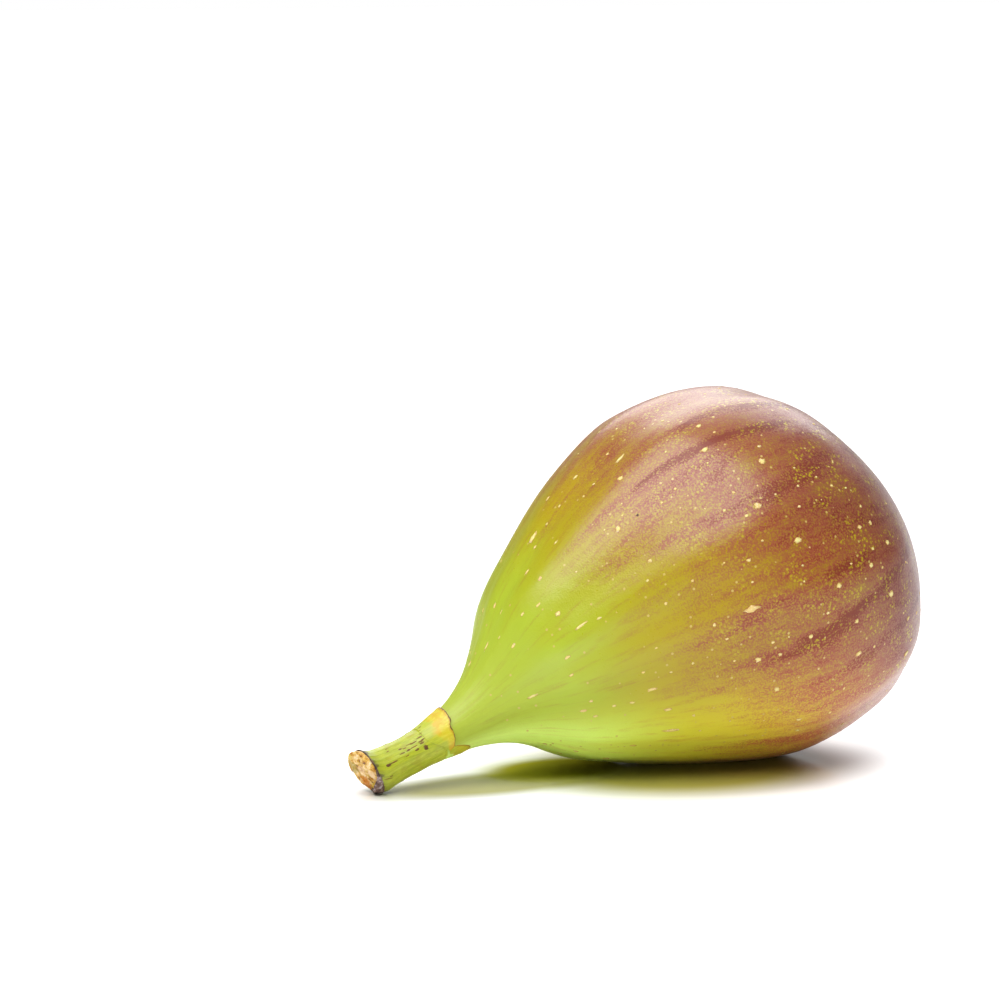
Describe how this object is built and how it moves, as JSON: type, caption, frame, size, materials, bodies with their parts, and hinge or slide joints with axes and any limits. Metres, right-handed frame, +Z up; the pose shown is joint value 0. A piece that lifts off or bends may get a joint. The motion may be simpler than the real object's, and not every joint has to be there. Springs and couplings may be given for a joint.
{
  "type": "fresh fig",
  "caption": "Whole fresh fig lying on its side: ribbed pear-shaped fruit with a long neck, scales closing its eye, lobed bracts at the neck's foot and a short cut stalk",
  "frame": {"origin": "the middle of the small flat spot on the underside of the fruit, on the surface that it lies on", "axes": "+Z up, +X along the length from the stalk towards the eye, so the stalk points to -X and slopes down to the surface; +Y completes the right-handed frame"},
  "size_m": [0.08, 0.0501, 0.0484],
  "materials": {
    "skin": "satin fruit skin, lime green at the neck, olive to red-brown towards the eye, with pale flecks",
    "scales": "matt reddish brown scales with paler edges",
    "bracts": "thin yellow to yellow-green bracts with dry brown torn edges",
    "stalk": "green satin stalk with brown flecks and a dry corky cut"
  },
  "bodies": {
    "root": {"fruit": "skin", "eye_scales": "scales", "bract_collar": "bracts", "stalk": "stalk"}
  },
  "joints": []
}
